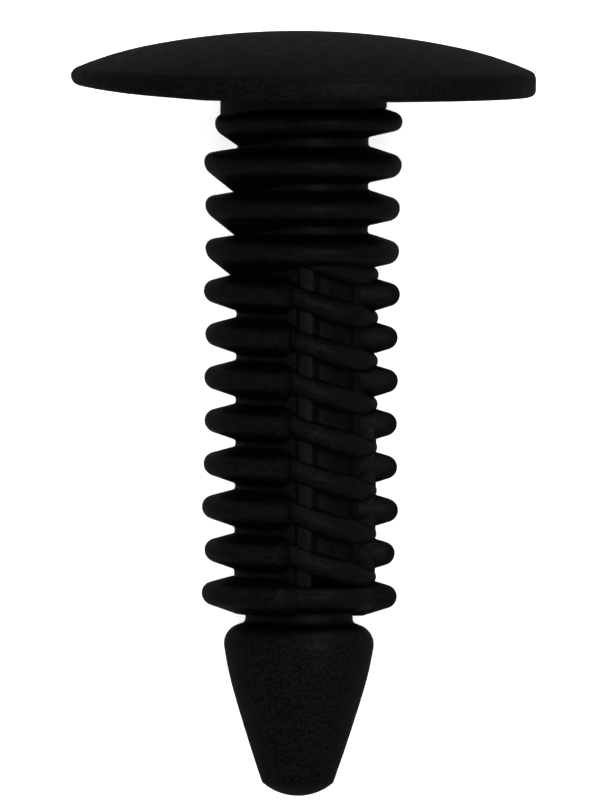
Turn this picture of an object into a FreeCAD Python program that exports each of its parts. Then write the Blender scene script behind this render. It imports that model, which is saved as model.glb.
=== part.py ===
import FreeCAD, Part
import math
import os

os.makedirs("parts", exist_ok=True)

Vector = FreeCAD.Vector

# A one-piece moulded push rivet: a thin domed head, a short collar, a shank
# ringed by twelve fins, a narrow neck and a bullet nose.
# It is drawn upright, with its axis on Z, the underside of the head at z = 0,
# the nose down and its front towards -Y. Then it is laid down on its back.
# All lengths are in millimetres and all angles in degrees.

# Head
head_radius = 11.05
head_height = 3.05
dome_radius = 38.0
dome_bevel_width = 1.5
dome_bevel_slope = 26.0
rim_top_bevel = 0.3
rim_bottom_round = 0.38
lip_width = 1.5
dish_depth = 0.25
gate_flat_depth = 0.14

# Shank
core_radius = 3.1
collar_radius = 3.95
collar_length = 0.62

# Fins
fin_count = 12
fin_radius = 4.66
top_fin_radius = 4.4
top_fin_shift = 0.26
fin_thickness = 0.95
fin_edge_width = 0.32
fin_bevel_width = 0.42
fin_pitch = 2.05
first_fin_drop = 1.28

# Struts that brace the left of the second, third and fourth fins from below
strut_reach = 4.2
strut_depth = 0.75
strut_sweep = 90

# Front right quarter, where the lower fins are moulded half a pitch higher
whole_fin_count = 4
short_fin_radius = 3.75
short_fin_rise = 0.98
spine_width = 0.8
side_web_width = 0.8
side_web_fins = 4

# Turn of the rivet about its own axis as it lies, with its front to the right
roll = 5.6

# Neck and nose
neck_radius = 2.55
neck_length = 0.8
nose_radius = 3.54
nose_shoulder_round = 0.95
nose_taper_start = 8.5
nose_taper_length = 6.45
nose_middle_radius = 2.83
nose_end_radius = 1.66
nose_cap_height = 0.68

last_fin_drop = first_fin_drop + fin_pitch * (fin_count - 1)
neck_bottom = -last_fin_drop - fin_thickness / 2 - neck_length

# Slope of the axis as the rivet lies on the edges of its head and its lowest fin
rest_length = last_fin_drop + fin_edge_width / 2 + rim_bottom_round
lean = math.degrees(math.atan2(head_radius - fin_radius, rest_length))


def step(angle, length):
    """A step of the given length in an outline's plane, at an angle from +X."""
    turned = math.radians(angle)
    return Vector(length * math.cos(turned), 0, length * math.sin(turned))


def rounding(centre, radius, turns):
    """Points round an edge, at the given angles from +X about its centre."""
    return [centre + step(turn, radius) for turn in turns]


def polyline(points):
    return [Part.makeLine(a, b) for a, b in zip(points, points[1:])]


def revolve(edges, sweep=360):
    """Turns a closed outline in the XZ plane about the axis."""
    face = Part.Face(Part.Wire(Part.__sortEdges__(edges)))
    return face.revolve(Vector(0, 0, 0), Vector(0, 0, 1), sweep)


def rod(radius, top, bottom):
    return Part.makeCylinder(radius, top - bottom, Vector(0, 0, bottom))


def head():
    """A shallow dome that falls away near its edge, over an upright rim.

    The underside is dished a little, so that a flat lip seats on the panel.
    The rim's lower edge is rounded, and its first flat lies on the floor.
    """
    dome_centre = Vector(0, 0, head_height - dome_radius)
    bevel_inner = head_radius - rim_top_bevel / 2 - dome_bevel_width
    fall = math.tan(math.radians(dome_bevel_slope))
    on_dome = dome_centre.z + math.sqrt(dome_radius ** 2 - bevel_inner ** 2)
    bevel_top = on_dome + bevel_inner * fall
    bevel_bottom = on_dome - dome_bevel_width * fall
    edge_centre = Vector(head_radius - rim_bottom_round, 0, rim_bottom_round)
    outline = [
        Vector(0, 0, dish_depth),
        Vector(0, 0, bevel_top),
        Vector(head_radius - rim_top_bevel / 2, 0, bevel_bottom),
        Vector(head_radius, 0, bevel_bottom - rim_top_bevel),
        *rounding(edge_centre, rim_bottom_round, [0, -2 * lean, -60, -90]),
        Vector(head_radius - lip_width, 0, 0),
        Vector(head_radius - lip_width - dish_depth, 0, dish_depth),
        Vector(0, 0, dish_depth),
    ]
    dome = Part.makeSphere(dome_radius, dome_centre, Vector(1, 0, 0))
    return revolve(polyline(outline)).common(dome).cut(gate_offcut())


def gate_offcut():
    """What was trimmed off the rim's right end, where the plastic was let in."""
    size = 2 * head_radius
    corner = Vector(head_radius - gate_flat_depth, -size / 2, -size / 2)
    return Part.makeBox(size, size, size, corner)


def fin(radius, drop, sweep=360):
    """A ring round the axis with its edge broken on both faces."""
    half = fin_thickness / 2
    half_edge = fin_edge_width / 2
    outline = [
        Vector(0, 0, half - drop),
        Vector(radius - fin_bevel_width, 0, half - drop),
        Vector(radius, 0, half_edge - drop),
        Vector(radius, 0, -half_edge - drop),
        Vector(radius - fin_bevel_width, 0, -half - drop),
        Vector(0, 0, -half - drop),
        Vector(0, 0, half - drop),
    ]
    return revolve(polyline(outline), sweep)


def fin_drop(index):
    return first_fin_drop + fin_pitch * index


def top_fin():
    """The ring under the collar, smaller than the rest and set over to the right."""
    ring = fin(top_fin_radius, first_fin_drop)
    ring.translate(Vector(top_fin_shift, 0, 0))
    return ring


def whole_fins():
    """Every other tier as a full ring."""
    return [fin(fin_radius, fin_drop(index)) for index in range(1, fin_count)]


def struts():
    """Sloping braces round the left, under the upper whole fins."""
    braces = []
    for index in range(1, whole_fin_count):
        top = -fin_drop(index) - fin_thickness / 2
        outline = [
            Vector(0, 0, top),
            Vector(strut_reach, 0, top),
            Vector(core_radius, 0, top - strut_depth),
            Vector(0, 0, top - strut_depth),
            Vector(0, 0, top),
        ]
        brace = revolve(polyline(outline), strut_sweep)
        brace.rotate(Vector(0, 0, 0), Vector(0, 0, 1), 180 - strut_sweep / 2)
        braces.append(brace)
    return braces


def stepped_quarter_gap():
    """The room cleared of whole rings, round from the right to the front."""
    top = -fin_drop(whole_fin_count) + fin_pitch / 2
    bottom = -last_fin_drop - fin_pitch / 2
    outline = [
        Vector(core_radius, 0, top),
        Vector(2 * fin_radius, 0, top),
        Vector(2 * fin_radius, 0, bottom),
        Vector(core_radius, 0, bottom),
        Vector(core_radius, 0, top),
    ]
    return revolve(polyline(outline), -90)


def short_fins():
    """Quarter fins between the whole rings, short of their full reach."""
    quarters = []
    for index in range(whole_fin_count, fin_count):
        quarters.append(fin(short_fin_radius, fin_drop(index) - short_fin_rise, -90))
    return quarters


def web(radius, top, bottom, corner, width, depth):
    """An upright web out to the given radius, as part of a rod."""
    block = Part.makeBox(width, depth, top - bottom, Vector(corner.x, corner.y, bottom))
    return block.common(rod(radius, top, bottom))


def spine():
    """The web at the front where the two staggered sets of fins meet."""
    top = -fin_drop(whole_fin_count - 1)
    corner = Vector(-spine_width / 2, -short_fin_radius, 0)
    return web(short_fin_radius, top, -last_fin_drop, corner, spine_width, short_fin_radius)


def side_web():
    """The web on the right that joins the lowest quarter fins."""
    top = -fin_drop(fin_count - 1 - side_web_fins)
    corner = Vector(0, -side_web_width, 0)
    return web(short_fin_radius, top, -last_fin_drop, corner, short_fin_radius, side_web_width)


def nose():
    """A round-shouldered bullet, tapered in two stages to a blunt domed cap."""
    shoulder_centre = Vector(nose_radius - nose_shoulder_round, 0, neck_bottom - nose_shoulder_round)
    shoulder = rounding(shoulder_centre, nose_shoulder_round, [90, 66, 42, 18, -nose_taper_start])
    taper_middle = Vector(nose_middle_radius, 0, shoulder[-1].z - nose_taper_length / 2)
    taper_end = Vector(nose_end_radius, 0, shoulder[-1].z - nose_taper_length)
    on_axis = [Vector(0, 0, taper_end.z), Vector(0, 0, neck_bottom)]
    outline = shoulder + [taper_middle, taper_end] + on_axis + [shoulder[0]]
    return revolve(polyline(outline)).fuse(nose_cap(taper_end.z))


def nose_cap(top):
    """A shallow ball cap, closing the small end of the nose."""
    radius = (nose_end_radius ** 2 + nose_cap_height ** 2) / (2 * nose_cap_height)
    bottom = top - nose_cap_height
    ball = Part.makeSphere(radius, Vector(0, 0, bottom + radius), Vector(1, 0, 0))
    return rod(nose_end_radius, top, bottom).common(ball)


def upright_rivet():
    """The whole rivet as one solid, standing on its axis."""
    shank = rod(core_radius, dish_depth, -last_fin_drop)
    ringed = shank.fuse(whole_fins()).cut(stepped_quarter_gap())
    pieces = [
        ringed,
        top_fin(),
        rod(collar_radius, dish_depth, -collar_length),
        rod(neck_radius, -last_fin_drop, neck_bottom),
        nose(),
        spine(),
        side_web(),
    ]
    return head().fuse(pieces + struts() + short_fins()).removeSplitter()


def lay_down(body):
    """Rests the rivet on its back, on the edges of its head and its lowest fin."""
    body.rotate(Vector(0, 0, 0), Vector(0, 0, 1), roll)
    body.rotate(Vector(0, 0, 0), Vector(1, 0, 0), lean - 90)
    box = body.optimalBoundingBox(False)
    middle = (box.YMin + box.YMax) / 2
    body.translate(Vector(0, -middle, -box.ZMin))
    return body


rivet = lay_down(upright_rivet())
rivet.exportStep("parts/push_rivet.step")
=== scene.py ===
import math

import bmesh
import bpy
from mathutils import Matrix, Vector


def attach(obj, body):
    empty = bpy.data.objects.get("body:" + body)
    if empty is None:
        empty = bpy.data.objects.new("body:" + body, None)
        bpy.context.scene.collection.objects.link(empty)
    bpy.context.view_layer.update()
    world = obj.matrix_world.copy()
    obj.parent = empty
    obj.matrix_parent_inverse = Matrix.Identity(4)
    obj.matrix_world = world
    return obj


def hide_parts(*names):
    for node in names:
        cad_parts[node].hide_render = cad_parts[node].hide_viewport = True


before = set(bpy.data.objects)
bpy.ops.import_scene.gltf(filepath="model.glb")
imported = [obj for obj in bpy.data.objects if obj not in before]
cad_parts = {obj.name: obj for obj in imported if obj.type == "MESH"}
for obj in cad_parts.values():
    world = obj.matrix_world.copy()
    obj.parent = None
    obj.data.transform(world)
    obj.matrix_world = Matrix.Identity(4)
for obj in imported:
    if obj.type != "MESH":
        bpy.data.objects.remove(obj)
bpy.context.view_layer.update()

# A plastic push rivet, drawn upright in millimetres: its axis is on Z, the head's
# underside at z = 0 and the front of the shank towards -Y. Angles are in degrees.
# Round the axis they run from +X to +Y, so the left is 180 and the front is 270.
# In an outline they run from straight out to straight up.
MM = 0.001
RIGHT, LEFT = 0, 180

# How the rivet lies: turned a little about its own axis, with its axis leaning up
# to the head, and the middle of the head's underside at SEAT in metres.
LEAN = 14.692631
TURN = 5.6
SEAT = Vector((0, 0.014060504, 0.010592288))

# Head
HEAD_RADIUS = 11.05
HEAD_HEIGHT = 3.05
CROWN_RADIUS = 37.0
CROWN_END = 11.5
SHOULDER_RADIUS = 17.5
RIM_TOP_ROUND = 0.45
RIM_BOTTOM_ROUND = 0.38
LIP_INNER_RADIUS = 9.6
DISH_DEPTH = 0.25
GATE_FLAT = 10.91

# Collar and core
COLLAR_RADIUS = 3.95
COLLAR_LENGTH = 0.62
COLLAR_SAG = 0.45
COLLAR_ROUND = 0.12
CORE = 3.1
RECESS_DEPTH = 0.5
RECESS_TOP, RECESS_FULL = -7.2, -7.5

# Fins. REACH is the radius of each full one, which varies a little in the moulding
PITCH = 2.05
FIRST_DROP = 1.28
REACH = (4.45, 4.69, 4.62, 4.60, 4.66, 4.57, 4.60, 4.57, 4.60, 4.66, 4.52, 4.64)
FINS = len(REACH)
LAST = FINS - 1
WHOLE_FINS = 4
TOP_FIN_SHIFT = 0.26
SHORT_REACH = 3.64
FIN_LIFT = 0.114
FIN_SLANT = 0.0118

# Neck and nose. Each round of the nose has a radius, where it starts and ends, and steps
NECK_RADIUS = 2.55
NECK_LENGTH = 1.27
NECK_FILLET = 0.25
NOSE_RADIUS = 3.56
NOSE_SHOULDER = 0.95
NOSE_ROUNDS = ((16.15, -8.5, -16.5, 6), (101.0, -16.5, -19, 6), (0.22, -19, -50, 4))
CAP_START = -50


def fin_drop(index):
    return FIRST_DROP + PITCH * index


LAST_DROP = fin_drop(LAST)


# ---- Turned shapes ----

def arc(r, z, radius, start, end, steps):
    """Points along a round, from one angle to another about its centre."""
    points = []
    for i in range(steps + 1):
        a = math.radians(start + (end - start) * i / steps)
        points.append((r + radius * math.cos(a), z + radius * math.sin(a)))
    return points


def follow(points, radius, start, end, steps):
    """Carries an outline on from its last point along a round."""
    r, z = points[-1]
    a = math.radians(start)
    centre = (r - radius * math.cos(a), z - radius * math.sin(a))
    points += arc(*centre, radius, start, end, steps)[1:]


def turn(shape, steps, start=0, sweep=360, closed=True):
    """Turns an outline about the axis. shape(angle) gives its (radius, height)s."""
    whole = sweep == 360
    rows = []
    mesh = bmesh.new()
    for i in range(steps if whole else steps + 1):
        angle = start + sweep * i / steps
        a = math.radians(angle)
        rows.append([
            mesh.verts.new((r * math.cos(a), r * math.sin(a), z))
            for r, z in shape(angle % 360)
        ])
    count = len(rows[0])
    for i in range(steps):
        one, two = rows[i], rows[(i + 1) % len(rows)]
        for k in range(count if closed else count - 1):
            m = (k + 1) % count
            mesh.faces.new((one[k], two[k], two[m], one[m]))
    if not whole:
        mesh.faces.new(rows[0])
        mesh.faces.new(rows[-1][::-1])
    bmesh.ops.remove_doubles(mesh, verts=mesh.verts, dist=1e-5)
    bmesh.ops.recalc_face_normals(mesh, faces=mesh.faces)
    return mesh


def clamp(share):
    return min(1.0, max(0.0, share))


def ease(share):
    """0 below 0 and 1 above 1, with a soft start and end."""
    share = clamp(share)
    return share * share * (3 - 2 * share)


def near(angle, middle, width):
    """1 at an angle about the axis, easing to 0 at width from it."""
    off = abs((angle - middle + 180) % 360 - 180) / width
    return 0.0 if off >= 1 else (1 + math.cos(math.pi * off)) / 2


def between(angle, start, fade_in, fade_out, end):
    """1 from start to end about the axis, easing in and out."""
    return min(ease((angle - start) / fade_in), ease((end - angle) / fade_out))


# ---- Head, collar, core, neck and nose: one turned body ----

def dome():
    """The top of the head: a wide curve, a tighter one and the rim's round."""
    points = [(0.0, HEAD_HEIGHT)]
    follow(points, CROWN_RADIUS, 90, 90 - CROWN_END, 14)
    room = HEAD_RADIUS - RIM_TOP_ROUND - points[-1][0]
    reach = room + SHOULDER_RADIUS * math.sin(math.radians(CROWN_END))
    slope = math.degrees(math.asin(reach / (SHOULDER_RADIUS - RIM_TOP_ROUND)))
    follow(points, SHOULDER_RADIUS, 90 - CROWN_END, 90 - slope, 12)
    follow(points, RIM_TOP_ROUND, 90 - slope, 0, 8)
    return points


def underside():
    """The rim's lower round, the seating lip and the step up into the dish."""
    rim = arc(HEAD_RADIUS - RIM_BOTTOM_ROUND, RIM_BOTTOM_ROUND, RIM_BOTTOM_ROUND, 0, -90, 8)
    return rim + [
        (LIP_INNER_RADIUS, 0.0),
        (LIP_INNER_RADIUS - 0.15, 0.05),
        (LIP_INNER_RADIUS - 0.4, 0.2),
        (LIP_INNER_RADIUS - 0.55, DISH_DEPTH),
    ]


def collar_and_core(angle):
    """The collar hangs lower at the left. The core is sunk behind the short fins."""
    drop = COLLAR_LENGTH + COLLAR_SAG * near(angle, LEFT, 70)
    points = arc(COLLAR_RADIUS + DISH_DEPTH, 0.0, DISH_DEPTH, 90, 180, 5)
    points += arc(COLLAR_RADIUS - COLLAR_ROUND, COLLAR_ROUND - drop, COLLAR_ROUND, 0, -90, 4)
    sunk = CORE - RECESS_DEPTH * between(angle, 272, 12, 15, 350)
    return points + [(CORE, -drop), (CORE, RECESS_TOP), (sunk, RECESS_FULL), (sunk, -LAST_DROP)]


def neck_and_nose():
    nose_top = -LAST_DROP - NECK_LENGTH
    points = [
        (NECK_RADIUS + 0.1, -LAST_DROP - 0.45),
        (NECK_RADIUS, -LAST_DROP - 0.6),
        (NECK_RADIUS, nose_top + NECK_FILLET),
    ]
    follow(points, NECK_FILLET, 180, 270, 4)
    shoulder_r, shoulder_z = NOSE_RADIUS - NOSE_SHOULDER, nose_top - NOSE_SHOULDER
    points += arc(shoulder_r, shoulder_z, NOSE_SHOULDER, 90, NOSE_ROUNDS[0][1], 12)
    for radius, start, end, steps in NOSE_ROUNDS:
        follow(points, radius, start, end, steps)
    cap = points[-1][0] / math.cos(math.radians(CAP_START))
    follow(points, cap, CAP_START, -90, 10)
    return points


def body_outline(angle):
    return dome() + underside() + collar_and_core(angle) + neck_and_nose()


def trim_gate(mesh):
    """The flat on the head's right end, where it was cut from its runner."""
    for v in mesh.verts:
        if v.co.z > -0.3 and v.co.x > GATE_FLAT:
            v.co.x = GATE_FLAT


def thin_left_end(mesh):
    """Lifts the head's underside towards its left end, under an unchanged dome."""
    start, steeper_from = 5.6, 8
    for v in mesh.verts:
        left = -v.co.x
        if v.co.z > -0.01 and left > start:
            share = clamp((1.0 - v.co.z) / 0.62)
            slope = 0.055 * (left - start)
            curve = 0.016 * max(0.0, left - steeper_from) ** 2
            v.co.z += share * (slope + curve)


# ---- Fins ----

def fin_outline(reach, drop, up, down, over, under, root=0.15, sink=0.0, inside=2.75):
    """A wedge with a round tip, flaring into the core at its root.

    up and down are the slopes of its faces, over and under the tip's rounds.
    """

    def flank(angle, tip, way):
        a = math.radians(angle)
        r = reach - tip + tip * math.sin(a)
        z = tip * math.cos(a)
        zc = z + (root - (CORE + root - r) * math.sin(a)) / math.cos(a)
        foot = arc(CORE + root, zc, root, 180, 270 - angle, 5)
        return [(pr, way * pz - drop) for pr, pz in [(inside, zc)] + foot]

    tip = arc(reach - over, -drop, over, 90 - up, 0, 7)
    tip += arc(reach - under, -drop, under, 0, down - 90, 7)[1:]
    points = flank(up, over, 1) + tip + flank(down, under, -1)[::-1]
    return [(r - sink, z) for r, z in points]


def sides(angle):
    """How much an angle about the axis is to the left, and to the right, up to 1."""
    return near(angle, LEFT, 95), near(angle, RIGHT, 80)


def quarter(angle):
    """1 round the front right, where the short fins are."""
    return between(angle, 250, 16, 18, 356)


def top_fin(angle):
    """It sits over to the right, and is lower and braced from below at its left."""
    left, right = sides(angle)
    reach = REACH[0] + TOP_FIN_SHIFT * math.cos(math.radians(angle))
    drop = fin_drop(0) + 0.24 * left
    up, down = 14 + 4 * right, 14 + 20 * left
    return fin_outline(reach, drop, up, down, 0.46, 0.46 + 0.18 * left)


def upper_fin(index):
    """A full fin, braced from below at its left."""
    def shape(angle):
        left, right = sides(angle)
        up, down = 14 + 3 * right - 4 * left, 15 + 23 * left - 2 * right
        over = 0.52 - 0.10 * left
        under = 0.52 + 0.22 * left + 0.12 * right
        return fin_outline(REACH[index], fin_drop(index), up, down, over, under)

    return shape


def lower_fin(index):
    """A full fin whose two ends sink into the core at the front and the right."""
    def shape(angle):
        sink = 2.1 * quarter(angle)
        return fin_outline(REACH[index], fin_drop(index), 16, 18, 0.54, 0.58, sink=sink)

    return shape


def last_fin(angle):
    """A full ring, shallower round the front right."""
    sink = 0.9 * quarter(angle)
    return fin_outline(REACH[LAST], LAST_DROP, 16, 18, 0.54, 0.58, 0.02, sink, 2.4)


def short_fin(index):
    """It starts level with the full fin above and slopes down round to the right."""
    def shape(angle):
        left = clamp((360 - TURN - angle) / 103) if angle > 180 else 0.0
        rise = 0.92 + 1.23 * left ** 2
        tip = 0.40 + 0.22 * ease(left / 0.4)
        drop = fin_drop(index) - rise
        return fin_outline(SHORT_REACH, drop, 6, 6, tip, tip, 0.02, inside=2.3)

    return shape


def skew(mesh):
    """The fins sit a hair high and lean down to the right, as they were moulded."""
    for v in mesh.verts:
        v.co.z += FIN_LIFT - FIN_SLANT * v.co.x


def all_fins():
    fins = [turn(top_fin, 144)]
    for index in range(1, WHOLE_FINS):
        fins.append(turn(upper_fin(index), 144))
    for index in range(WHOLE_FINS, LAST):
        fins.append(turn(lower_fin(index), 120, start=-24, sweep=292))
    fins.append(turn(last_fin, 144))
    for index in range(WHOLE_FINS, FINS):
        fins.append(turn(short_fin(index), 50, start=-114, sweep=114))
    for fin in fins:
        skew(fin)
    return fins


# ---- Webs ----

def block(low, high, bevel):
    """A box with its edges rounded."""
    mesh = bmesh.new()
    size = [h - l for l, h in zip(low, high)]
    middle = [(h + l) / 2 for l, h in zip(low, high)]
    place = Matrix.Translation(middle) @ Matrix.Diagonal((*size, 1))
    bmesh.ops.create_cube(mesh, size=1, matrix=place)
    edges = list(mesh.edges)
    bmesh.ops.bevel(mesh, geom=edges, offset=bevel, segments=3, profile=0.5, affect="EDGES")
    return mesh


def spine():
    """The web at the front, where the full and the short fins meet."""
    return block((-0.5, -3.3, -LAST_DROP), (0.3, -2.6, -fin_drop(WHOLE_FINS - 1)), 0.15)


def side_web():
    """The web on the right that joins the lowest short fins."""
    return block((2.4, -0.8, -LAST_DROP + 0.5), (3.54, 0.0, -fin_drop(LAST - 4)), 0.12)


# ---- One mesh, laid down ----

def join(parts, placing):
    whole = bmesh.new()
    for part in parts:
        piece = bpy.data.meshes.new("part")
        part.to_mesh(piece)
        part.free()
        whole.from_mesh(piece)
        bpy.data.meshes.remove(piece)
    whole.transform(placing)
    mesh = bpy.data.meshes.new("push_rivet_moulding")
    whole.to_mesh(mesh)
    whole.free()
    mesh.shade_smooth()
    mesh.set_sharp_from_angle(angle=math.radians(35))
    return mesh


body = turn(body_outline, 256, closed=False)
trim_gate(body)
thin_left_end(body)

rolled_back = Matrix.Rotation(math.radians(LEAN - 90), 4, "X")
lay = Matrix.Translation(SEAT) @ rolled_back @ Matrix.Scale(MM, 4)
turned = Matrix.Rotation(math.radians(TURN), 4, "Z")
mesh = join([body, *all_fins(), spine(), side_web()], lay @ turned)
rivet = bpy.data.objects.new("push_rivet_moulding", mesh)
bpy.context.scene.collection.objects.link(rivet)


# ---- Black nylon ----

def node(tree, kind, at, inputs=()):
    """Adds a shader node, with the given values on its inputs."""
    made = tree.nodes.new(kind)
    made.location = at
    for name, value in dict(inputs).items():
        made.inputs[name].default_value = value
    return made


def nylon():
    """Near-black satin nylon: a fine mould grain, a fine mottle and patches of gloss."""
    material = bpy.data.materials.new("black_nylon")
    material.use_nodes = True
    tree = material.node_tree
    shader = tree.nodes["Principled BSDF"]
    shader.inputs["Specular IOR Level"].default_value = 0.24
    link = tree.links.new
    place = node(tree, "ShaderNodeTexCoord", (-1200, 0))

    mottle = node(tree, "ShaderNodeTexNoise", (-900, 200), {"Scale": 7000, "Detail": 6})
    tones = node(tree, "ShaderNodeValToRGB", (-650, 200))
    darker, lighter = tones.color_ramp.elements
    darker.position, darker.color = 0.38, (0.0002, 0.00017, 0.00018, 1)
    lighter.position, lighter.color = 0.66, (0.0020, 0.0017, 0.0018, 1)
    link(place.outputs["Object"], mottle.inputs["Vector"])
    link(mottle.outputs["Fac"], tones.inputs["Fac"])
    link(tones.outputs["Color"], shader.inputs["Base Color"])

    patches = node(tree, "ShaderNodeTexNoise", (-900, -100), {"Scale": 1800, "Detail": 4})
    gloss = node(tree, "ShaderNodeMapRange", (-650, -100), {
        "From Min": 0.3, "From Max": 0.7, "To Min": 0.42, "To Max": 0.54,
    })
    link(place.outputs["Object"], patches.inputs["Vector"])
    link(patches.outputs["Fac"], gloss.inputs["Value"])
    link(gloss.outputs["Result"], shader.inputs["Roughness"])

    grain = node(tree, "ShaderNodeTexNoise", (-900, -400), {"Scale": 5200, "Detail": 3})
    bump = node(tree, "ShaderNodeBump", (-400, -400), {"Strength": 0.22, "Distance": 0.00004})
    link(place.outputs["Object"], grain.inputs["Vector"])
    link(grain.outputs["Fac"], bump.inputs["Height"])
    link(bump.outputs["Normal"], shader.inputs["Normal"])
    return material


mesh.materials.append(nylon())
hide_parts("push_rivet")
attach(rivet, "root")


# ---- Floor, light and camera ----

def floor():
    """A plain pale floor, which the nylon's gloss does not mirror."""
    plane = bpy.data.meshes.new("floor")
    plane.from_pydata([(-2, -2, 0), (2, -2, 0), (2, 2, 0), (-2, 2, 0)], [], [(0, 1, 2, 3)])
    top = bpy.data.objects.new("floor", plane)
    bpy.context.scene.collection.objects.link(top)
    top.visible_glossy = False
    material = bpy.data.materials.new("floor")
    material.use_nodes = True
    shader = material.node_tree.nodes["Principled BSDF"]
    shader.inputs["Base Color"].default_value = (0.9, 0.9, 0.9, 1)
    shader.inputs["Roughness"].default_value = 0.9
    shader.inputs["Specular IOR Level"].default_value = 0.1
    plane.materials.append(material)


def lamp(name, at, size, power):
    """A round lamp that faces the rivet."""
    data = bpy.data.lights.new(name, "AREA")
    data.shape = "DISK"
    data.size = size
    data.energy = power
    light = bpy.data.objects.new(name, data)
    light.location = at
    light.rotation_mode = "QUATERNION"
    facing = Vector((0, 0, 0.01)) - Vector(at)
    light.rotation_quaternion = facing.to_track_quat("-Z", "Y")
    bpy.context.scene.collection.objects.link(light)


def studio():
    """White light all round, of which the nylon's gloss picks up only a little."""
    world = bpy.data.worlds.new("studio")
    world.use_nodes = True
    tree = world.node_tree
    background = tree.nodes["Background"]
    background.inputs["Color"].default_value = (1, 1, 1, 1)
    rays = node(tree, "ShaderNodeLightPath", (-500, 0))
    level = node(tree, "ShaderNodeMapRange", (-250, 0), {"To Min": 2.8, "To Max": 0.105})
    tree.links.new(rays.outputs["Is Glossy Ray"], level.inputs["Value"])
    tree.links.new(level.outputs["Result"], background.inputs["Strength"])
    return world


def set_camera(distance, height, aim_x, aim_z, roll):
    """A camera off the front of the shank, placed in the upright rivet's millimetres."""
    eye = lay @ Vector((aim_x, -distance, height))
    look = (lay @ Vector((aim_x, 0, aim_z)) - eye).normalized()
    skyward = (lay.to_3x3() @ Vector((0, 0, 1))).normalized()
    side = look.cross(skyward).normalized()
    facing = Matrix((side, side.cross(look), -look)).transposed()
    facing = facing @ Matrix.Rotation(math.radians(roll), 3, "Z")
    data = bpy.data.cameras.new("camera")
    data.sensor_width = 36
    data.lens = 1139
    data.clip_start, data.clip_end = 0.01, 10
    camera = bpy.data.objects.new("camera", data)
    camera.rotation_mode = "QUATERNION"
    camera.rotation_quaternion = facing.to_quaternion()
    camera.location = eye
    bpy.context.scene.collection.objects.link(camera)
    bpy.context.scene.camera = camera


floor()
lamp("key", (0.22, 0.46, 0.28), 0.25, 0.16)
lamp("front", (0.225, -0.06, 0.43), 0.2, 0.16)
bpy.context.scene.world = studio()
bpy.context.scene.view_settings.view_transform = "Standard"
set_camera(distance=1200, height=37, aim_x=-0.07, aim_z=-14.47, roll=0.5)

bpy.context.view_layer.update()
